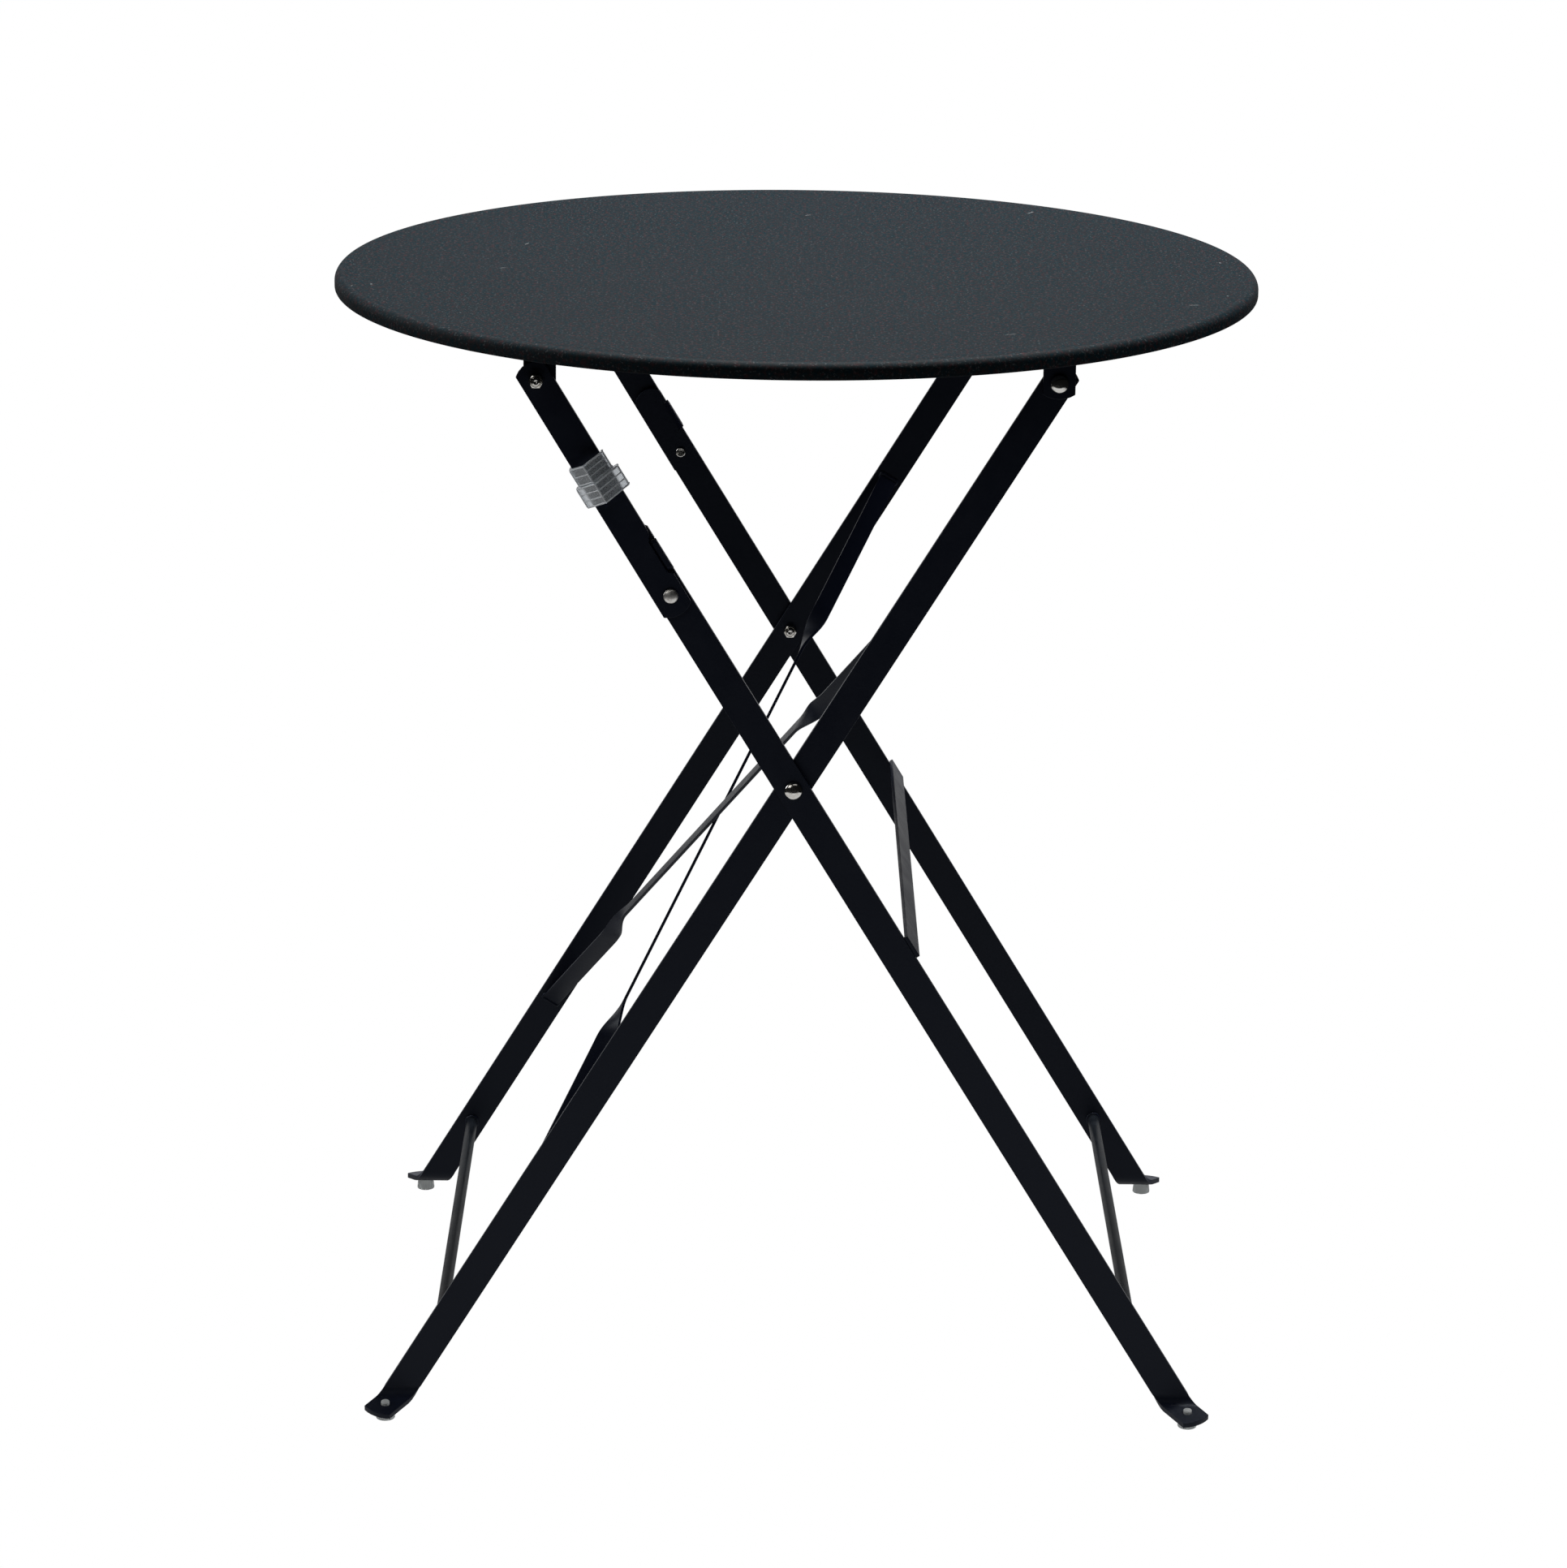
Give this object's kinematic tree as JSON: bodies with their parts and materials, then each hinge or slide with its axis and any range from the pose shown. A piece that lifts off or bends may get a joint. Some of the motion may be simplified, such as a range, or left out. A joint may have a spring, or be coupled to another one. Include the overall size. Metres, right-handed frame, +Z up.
{
  "type": "folding bistro table",
  "caption": "Round sheet-steel table top on two crossed flat-bar frames that fold flat together, with hinged upper links and twisted braces.",
  "frame": {"origin": "on the floor under the middle of the round top, standing open", "axes": "+Z up, X along the direction the table folds in, Y along its hinge axes"},
  "size_m": [0.6, 0.6, 0.722],
  "materials": {
    "tabletop_coat": "satin powder coat, fine grain",
    "frame_coat": "satin powder coat",
    "plated_steel": "bright zinc plate",
    "glide_plastic": "milky translucent plastic",
    "clear_plastic": "clear moulded plastic"
  },
  "bodies": {
    "inner_frame": {"inner_leg_near": "frame_coat", "inner_leg_far": "frame_coat", "brace_front": "frame_coat", "brace_back": "frame_coat", "inner_foot_rod": "frame_coat", "inner_glide_near": "glide_plastic", "inner_glide_far": "glide_plastic", "cross_bolt_near": "plated_steel", "cross_bolt_far": "plated_steel", "cross_nut_near": "plated_steel", "cross_nut_far": "plated_steel", "top_hinge_bolt_near": "plated_steel", "top_hinge_bolt_far": "plated_steel", "top_hinge_nut_near": "plated_steel", "top_hinge_nut_far": "plated_steel"},
    "outer_frame": {"outer_leg_near": "frame_coat", "outer_leg_far": "frame_coat", "outer_crossbar": "frame_coat", "outer_foot_rod": "frame_coat", "outer_glide_near": "glide_plastic", "outer_glide_far": "glide_plastic", "elbow_rivet_end_near": "plated_steel", "elbow_rivet_end_far": "plated_steel"},
    "tabletop": {"tabletop": "tabletop_coat", "bracket_link_side": "frame_coat", "bracket_leg_side": "frame_coat", "link_bolt_near": "plated_steel", "link_bolt_far": "plated_steel", "link_nut_near": "plated_steel", "link_nut_far": "plated_steel"},
    "upper_link_near": {"upper_link_near": "frame_coat", "elbow_rivet_near": "plated_steel", "storage_clip": "clear_plastic"},
    "upper_link_far": {"upper_link_far": "frame_coat", "elbow_rivet_far": "plated_steel"}
  },
  "joints": [
    {"name": "cross_hinge", "type": "hinge", "parent": "inner_frame", "child": "outer_frame", "pos_m": [0, 0, 0.427], "axis": [0, 1, 0], "range_deg": [0, 54.6]},
    {"name": "top_hinge", "type": "hinge", "parent": "inner_frame", "child": "tabletop", "pos_m": [0.161, 0, 0.69], "axis": [0, -1, 0], "range_deg": [0, 50.7]},
    {"name": "link_hinge_near", "type": "hinge", "parent": "tabletop", "child": "upper_link_near", "pos_m": [-0.161, 0, 0.69], "axis": [0, -1, 0], "range_deg": [0, 58.5]},
    {"name": "link_hinge_far", "type": "hinge", "parent": "tabletop", "child": "upper_link_far", "pos_m": [-0.161, 0, 0.69], "axis": [0, -1, 0], "range_deg": [0, 58.5]}
  ],
  "couplings": [
    {"joint": "top_hinge", "follows": "cross_hinge", "ratio": 0.927},
    {"joint": "link_hinge_near", "follows": "cross_hinge", "ratio": 1.0714},
    {"joint": "link_hinge_far", "follows": "cross_hinge", "ratio": 1.0714}
  ]
}
